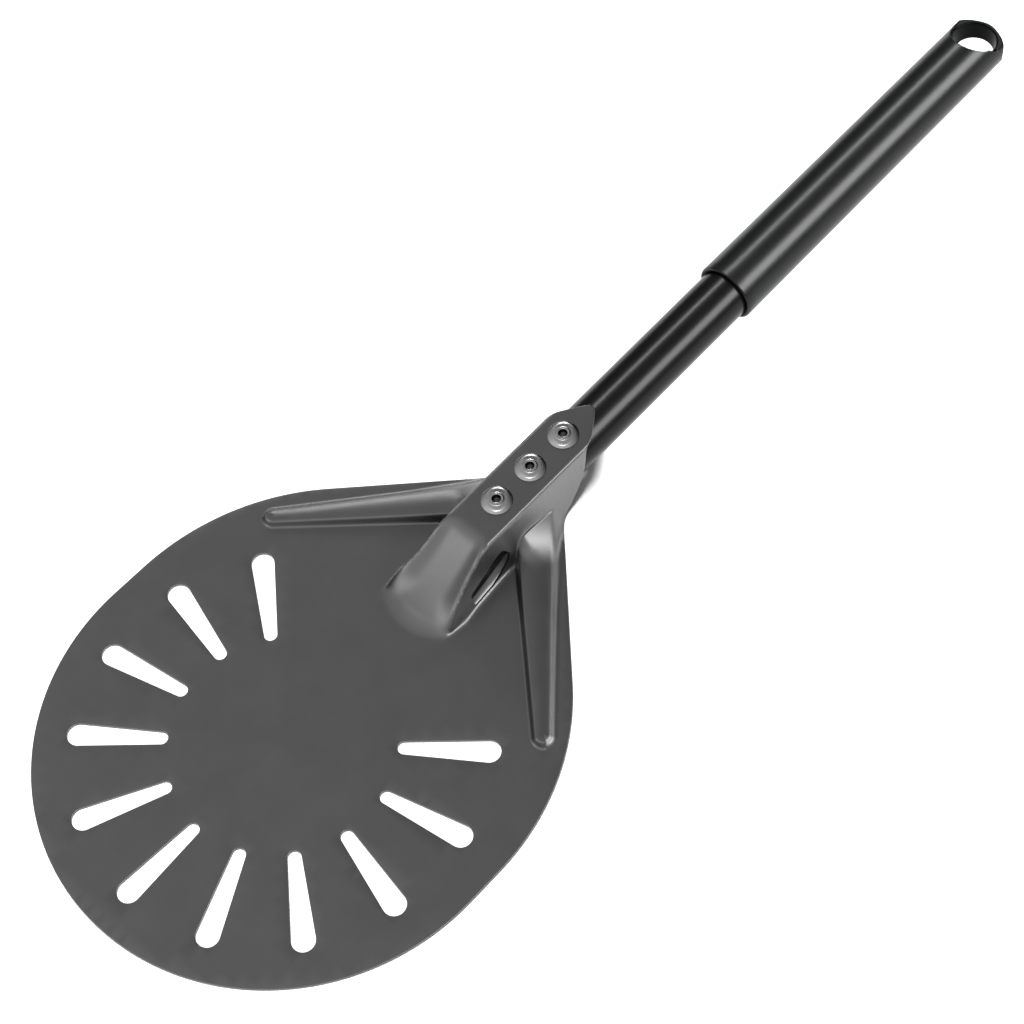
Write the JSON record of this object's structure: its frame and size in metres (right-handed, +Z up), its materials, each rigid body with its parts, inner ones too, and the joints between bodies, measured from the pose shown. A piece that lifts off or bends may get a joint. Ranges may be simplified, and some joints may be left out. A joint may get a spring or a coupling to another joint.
{
  "type": "perforated pizza turning peel",
  "caption": "Round perforated metal turning peel for pizza, with shoulder ribs and a raised channel riveted over a tubular handle with a grip sleeve and hanging hole.",
  "frame": {"origin": "centre of the round blade, on its flat underside", "axes": "+Y from the blade towards the handle, +Z up from the blade, X across; symmetric about the plane X = 0"},
  "size_m": [0.23, 0.6321, 0.0388],
  "materials": {
    "anodised_grey": "satin dark grey hard anodising",
    "satin_black": "satin black",
    "grip_black": "smooth semi-matte black",
    "bright_metal": "bright, turned",
    "dark_steel": "dull, broken end"
  },
  "bodies": {
    "root": {"blade": "anodised_grey", "handle_tube": "satin_black", "grip_sleeve": "grip_black", "rivet_body_1": "bright_metal", "rivet_body_2": "bright_metal", "rivet_body_3": "bright_metal", "rivet_mandrel_1": "dark_steel", "rivet_mandrel_2": "dark_steel", "rivet_mandrel_3": "dark_steel"}
  },
  "joints": []
}
